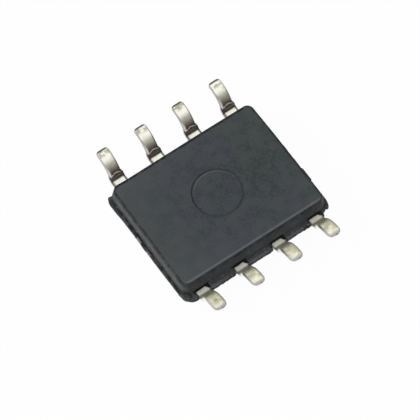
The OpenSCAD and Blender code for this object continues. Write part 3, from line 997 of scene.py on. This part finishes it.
both_rows = {
    "Path": lead_path, "Section": lead_section, "Bend radius": BEND_R, "Heel radius": heel_r,
    "Edge radius": SECTION_R, "Bonding width": lead_high.x - lead_low.x, "Bonding end": BONDING_LENGTH,
    "Wall": half_w - WALL_IN - lead_low.y, **{label: leg_at + at for label, at in WAIST_AT.items()}}
leads = []
for number, sole in enumerate(soles, start=1):
    is_far = sole.y > 0
    row = FAR_ROW if is_far else NEAR_ROW
    outer = abs(sole.x) > min(abs(x) for x in lead_xs) + MM
    lead = run_tree(f"formed_lead_{number}", lead_tree, lead_ids, {
        **both_rows, **row, "Neck end": row["Neck start"] + NECK_LENGTH,
        "Lean": math.copysign(OUTER_LEAN, sole.x * sole.y) if outer else 0.0,
        "Place": (sole.x, 0, middle_z), "Turn": (0, 0, LEAD_TURN + (0 if is_far else math.pi)),
        "Tone": row["Tone"] + TONE_STEP * math.sin(3 * number),
    })
    keep_piece(lead, "tin_plate", f"lead_{number}")
    leads.append(lead)
for helper in (lead_path, lead_section):
    bpy.data.objects.remove(helper)
print("leads:", len(leads), "faces each:", len(leads[0].data.polygons))

# %% [markdown]
# ## Crumbs of flash
# Where the dam bars were punched off, crumbs of plastic still cling to the edge of the near band, left of
# each lead. Placing each by hand would be guesswork. The points of the edge there are handed to a second
# tree, which picks a share of them with a fixed seed and sets a small rough lump on each, dark or pale.

# %% Crumbs along the near band
CRUMB_INPUTS = {"Edge": "NodeSocketObject", "Share": "NodeSocketFloat", "Size": "NodeSocketFloat",
                "Seed": "NodeSocketInt"}
CRUMB_SHARE = 0.3
CRUMB_SIZE = 0.034
CRUMB_SEED = 11
CRUMB_LEFT = 0.34
CRUMB_SPREAD = 0.12


def make_crumb_tree(finish):
    tree, given, ids = new_tree("flash_crumbs", CRUMB_INPUTS)
    start = Wire(tree)

    def chance(seed):
        """A number from 0 to 1 for each point, the same on every run."""
        return start.node("FunctionNodeRandomValue", {"data_type": "FLOAT"},
                          {2: 0.0, 3: 1.0, "Seed": given["Seed"] + seed}, out=1)

    def three_chances(low, high, seed):
        """A vector for each point between two others, the same on every run."""
        return start.node("FunctionNodeRandomValue", {"data_type": "FLOAT_VECTOR"},
                          {0: low, 1: high, "Seed": given["Seed"] + seed}, out=0)

    edge = start.node("GeometryNodeObjectInfo", None, {"Object": given["Edge"]}, out="Geometry")
    lump = start.node("GeometryNodeMeshIcoSphere", None, {"Radius": given["Size"], "Subdivisions": 2})
    picked = start.maths("LESS_THAN", chance(0), given["Share"])
    turn = three_chances((0, 0, 0), (6.28, 6.28, 6.28), 1)
    stretch = three_chances((0.5, 0.4, 0.3), (1.9, 1.2, 1.0), 2)
    dark = store(edge, "dirty", "FLOAT", chance(3))
    pale = store(dark, "rubbed", "FLOAT", chance(4))
    lumps = pale.node("GeometryNodeInstanceOnPoints", None, {
        "Points": pale, "Selection": picked, "Instance": lump, "Rotation": turn, "Scale": stretch})
    close_tree(lumps, finish)
    return tree, ids


outer_edge, top_edge = (rings[len(marked_round) + step][0] for step in (4, 6))
by_lead = (shelf > 0.5) & (from_leads(CRUMB_LEFT) < CRUMB_SPREAD)
on_edge = [place for edge in (outer_edge, top_edge) for place in edge[by_lead]]
edge_mesh = bpy.data.meshes.new("band_edge")
edge_mesh.from_pydata([tuple(place) for place in on_edge], [], [])
band_edge = add_object("band_edge", edge_mesh)
crumb_tree, crumb_ids = make_crumb_tree(mould_compound)
crumbs = run_tree("flash_crumbs", crumb_tree, crumb_ids, {
    "Edge": band_edge, "Share": CRUMB_SHARE, "Size": CRUMB_SIZE, "Seed": CRUMB_SEED})
bpy.data.objects.remove(band_edge)
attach(crumbs, "root")
print("points of the edge:", len(on_edge), "faces of the crumbs:", len(crumbs.data.polygons))

# %% [markdown]
# ## What the moulding hides
# The die paddle, its glue, the silicon and the wires are as packed: their shapes are right. Only the
# cut ends of the paddle's tie bars show, in the pockets of the two short ends: dull black, and grey where
# they were cut. They could stay plain, but whoever lifts the moulding off would see them, so each gets a
# finish of its own: stamped copper, silver-filled glue, silicon and gold.

# %% Finishes of the hidden pieces


def make_inner(name, dark, light, per_mm, metal, rough, depth):
    """A two-tone finish with noise of that fineness. Outside the moulding it is dull, and grey at a cut."""
    finish, start = new_finish(name)
    place = place_mm(start)
    tone = cloud(place, per_mm, 4)
    x = place.split()
    past_end = abs(x) - half_l
    bare = past_end.ramp(-0.06, -0.03)
    normal = start.node("ShaderNodeNewGeometry", out="Normal")
    facing_x = normal.split()
    end_face = abs(facing_x).ramp(0.5, 0.8)
    fresh = end_face.most(past_end.ramp(-0.01, 0.05) * 0.8) * (0.45 + x.output("Y").ramp(-0.1, 0.1) * 0.55)
    cut = (fresh * (0.5 + tone)).blend((0.03, 0.03, 0.03, 1), (0.20, 0.195, 0.19, 1))
    close_finish(start, {
        "Base Color": bare.blend(tone.ramp(0.3, 0.7).blend((*dark, 1), (*light, 1)), cut),
        "Metallic": metal * (1 - bare),
        "Roughness": rough + tone * 0.15 + bare * 0.3,
        "Normal": bump(tone, depth),
    })
    return finish


copper = make_inner("leadframe_copper", (0.42, 0.36, 0.29), (0.66, 0.60, 0.52), 16, 1.0, 0.3, 0.004)
adhesive = make_inner("die_adhesive", (0.36, 0.37, 0.39), (0.55, 0.56, 0.58), 24, 0.4, 0.5, 0.006)
silicon = make_inner("silicon", (0.13, 0.15, 0.20), (0.20, 0.22, 0.29), 5, 0.3, 0.15, 0.001)
gold = make_inner("bond_wire", (0.72, 0.50, 0.20), (0.92, 0.70, 0.34), 60, 1.0, 0.2, 0.001)
inner = {"die_paddle": copper, "die_attach": adhesive, "silicon_die": silicon}
inner.update({name: gold for name in frame["nodes"] if name.startswith("bond_wire")})
for name, finish in inner.items():
    mesh = frame["nodes"][name].data
    mesh.materials.clear()
    mesh.materials.append(finish)
print("hidden pieces:", len(inner))

# %% [markdown]
# ## Sizes and close
# The looks must not change the object's size.
